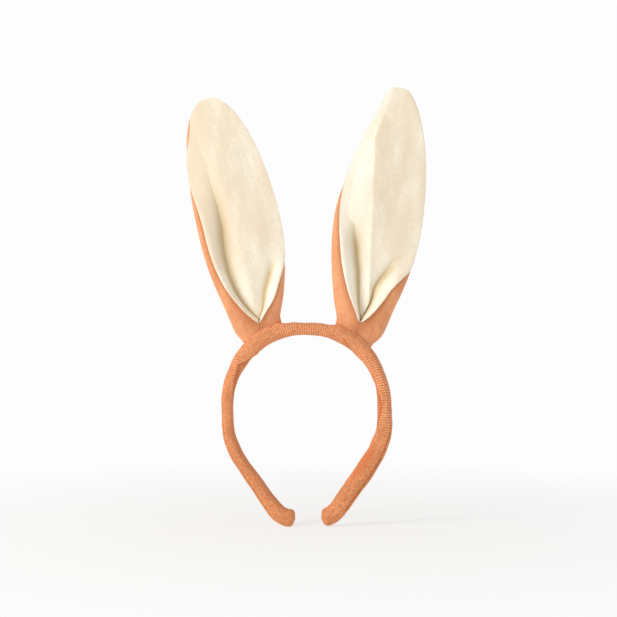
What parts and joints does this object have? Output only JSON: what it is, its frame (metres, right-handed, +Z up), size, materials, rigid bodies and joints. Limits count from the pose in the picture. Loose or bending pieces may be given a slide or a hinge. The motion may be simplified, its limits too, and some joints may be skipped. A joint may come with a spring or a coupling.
{
  "type": "animal ears headband",
  "caption": "Fabric-covered spring headband with long bendable animal ears: cream plush inside, orange velour outside, pleated into a knitted sleeve.",
  "frame": {"origin": "centre of the crown's round inner face, the head_grip mount, midway between the band's front and back", "axes": "+Z up towards the ears as worn, +Y to the back of the head, +X towards the wearer's left; the cream side of the ears faces -Y"},
  "size_m": [0.174, 0.0137, 0.3159],
  "materials": {
    "knitted_sleeve": "ribbed knitted velour, terracotta orange",
    "orange_velour": "short-pile velour, terracotta orange",
    "cream_plush": "short-pile plush, warm cream",
    "sewing_thread": "spun polyester thread, matched orange",
    "foam": "soft open-cell foam and fibre wadding, off-white",
    "hoop_plastic": "moulded polypropylene strip",
    "edge_wire": "soft annealed wire"
  },
  "bodies": {
    "crown": {"crown_hoop": "hoop_plastic", "crown_padding": "foam", "crown_sleeve": "knitted_sleeve", "crown_seam_thread": "sewing_thread", "left_ear_tab": "orange_velour", "right_ear_tab": "orange_velour", "left_ear_stitches": "sewing_thread", "right_ear_stitches": "sewing_thread"},
    "left_leg": {"left_leg_hoop": "hoop_plastic", "left_leg_padding": "foam", "left_leg_sleeve": "knitted_sleeve", "left_leg_seam_thread": "sewing_thread", "left_tip_stitches": "sewing_thread"},
    "right_leg": {"right_leg_hoop": "hoop_plastic", "right_leg_padding": "foam", "right_leg_sleeve": "knitted_sleeve", "right_leg_seam_thread": "sewing_thread", "right_tip_stitches": "sewing_thread"},
    "left_ear_base": {"left_ear_neck": "orange_velour"},
    "right_ear_base": {"right_ear_neck": "orange_velour"},
    "left_ear": {"left_ear_foot": "orange_velour", "left_ear_back_panel": "orange_velour", "left_ear_front_panel": "cream_plush", "left_ear_wadding": "foam", "left_ear_wire": "edge_wire", "left_ear_edge_thread": "sewing_thread"},
    "right_ear": {"right_ear_foot": "orange_velour", "right_ear_back_panel": "orange_velour", "right_ear_front_panel": "cream_plush", "right_ear_wadding": "foam", "right_ear_wire": "edge_wire", "right_ear_edge_thread": "sewing_thread"}
  },
  "joints": [
    {"name": "left_leg_spread", "type": "hinge", "parent": "crown", "child": "left_leg", "pos_m": [-0.05069, 0, 0.02472], "axis": [0, 1, 0], "range_deg": [-5, 25], "stiffness_Nm_per_rad": 0.4},
    {"name": "left_ear_tilt", "type": "hinge", "parent": "crown", "child": "left_ear_base", "pos_m": [-0.03466, 0, 0.05769], "axis": [0.8572, 0, 0.515], "range_deg": [-45, 45]},
    {"name": "left_ear_splay", "type": "hinge", "parent": "left_ear_base", "child": "left_ear", "pos_m": [-0.04061, 0, 0.08453], "axis": [0, -1, 0], "range_deg": [-4, 10]},
    {"name": "right_leg_spread", "type": "hinge", "parent": "crown", "child": "right_leg", "pos_m": [0.05069, 0, 0.02472], "axis": [0, -1, 0], "range_deg": [-5, 25], "stiffness_Nm_per_rad": 0.4},
    {"name": "right_ear_tilt", "type": "hinge", "parent": "crown", "child": "right_ear_base", "pos_m": [0.0386, 0, 0.05513], "axis": [0.8192, 0, -0.5736], "range_deg": [-45, 45]},
    {"name": "right_ear_splay", "type": "hinge", "parent": "right_ear_base", "child": "right_ear", "pos_m": [0.04314, 0, 0.08225], "axis": [0, 1, 0], "range_deg": [-4, 10]}
  ]
}
